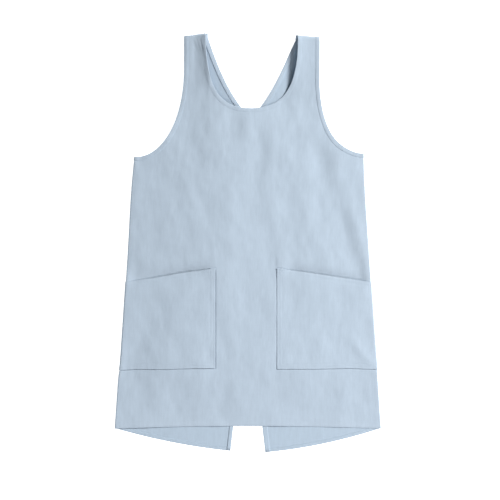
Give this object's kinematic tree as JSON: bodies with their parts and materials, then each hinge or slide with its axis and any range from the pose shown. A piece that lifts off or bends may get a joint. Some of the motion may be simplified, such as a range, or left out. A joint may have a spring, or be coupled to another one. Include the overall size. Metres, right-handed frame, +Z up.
{
  "type": "smock apron",
  "caption": "Linen smock apron lying flat: scoop-neck front with side patch pockets, and open back panels whose straps cross to the far shoulders.",
  "frame": {"origin": "on the surface that it lies on, under the middle of its box", "axes": "+X to the right of the front seen from above, +Y from the hem to the shoulders, +Z up out of the front"},
  "size_m": [0.5614, 0.877, 0.0194],
  "materials": {
    "linen_outside": "plain-weave linen, soft powder blue, matt with a faint sheen and upright slubs",
    "linen_inside": "inner side of the same linen, matt",
    "edge_band": "the same linen in a narrow folded band, edge-stitched"
  },
  "bodies": {
    "root": {"front_panel": "linen_outside", "pocket_left": "linen_outside", "pocket_right": "linen_outside", "back_panel_left": "linen_inside", "back_panel_right": "linen_inside", "neck_band": "edge_band", "armhole_band_left": "edge_band", "armhole_band_right": "edge_band", "back_band_left": "edge_band", "back_band_right": "edge_band"}
  },
  "joints": []
}
